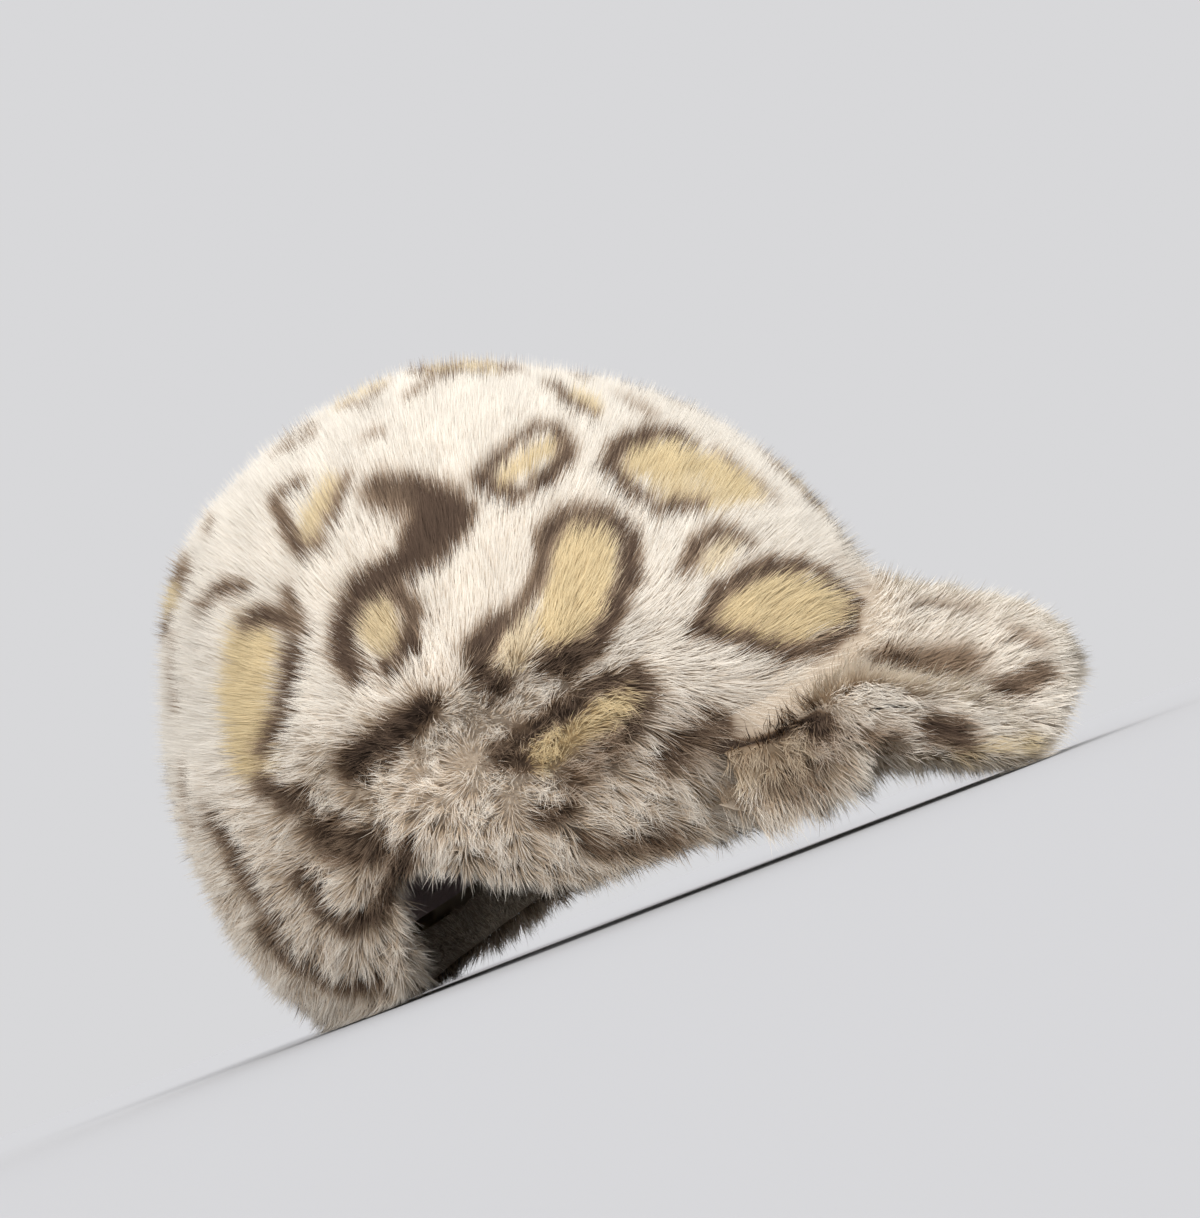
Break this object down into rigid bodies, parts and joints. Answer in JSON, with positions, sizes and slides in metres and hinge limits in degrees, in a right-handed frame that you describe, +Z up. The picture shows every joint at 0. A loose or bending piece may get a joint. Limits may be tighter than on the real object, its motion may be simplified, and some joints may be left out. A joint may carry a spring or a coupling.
{
  "type": "faux fur baseball cap",
  "caption": "Soft baseball cap of deep spotted faux fur with a rounded crown, a drooping furred peak and a turned-in fur rim; worn on the head.",
  "frame": {"origin": "under the middle of the cap's box, on the surface that the cap rests on", "axes": "+X points out of the peak, +Y to the wearer's left, +Z up"},
  "size_m": [0.267, 0.1952, 0.177],
  "materials": {
    "spotted_fur": "deep cream pile with brown rings and tan centres",
    "under_fur": "tan and brown pile",
    "lining_cloth": "plain grey-pink woven lining"
  },
  "bodies": {
    "root": {"crown": "spotted_fur", "peak_top": "spotted_fur", "peak_under": "under_fur", "rim_hem": "under_fur", "lining": "lining_cloth"}
  },
  "joints": []
}
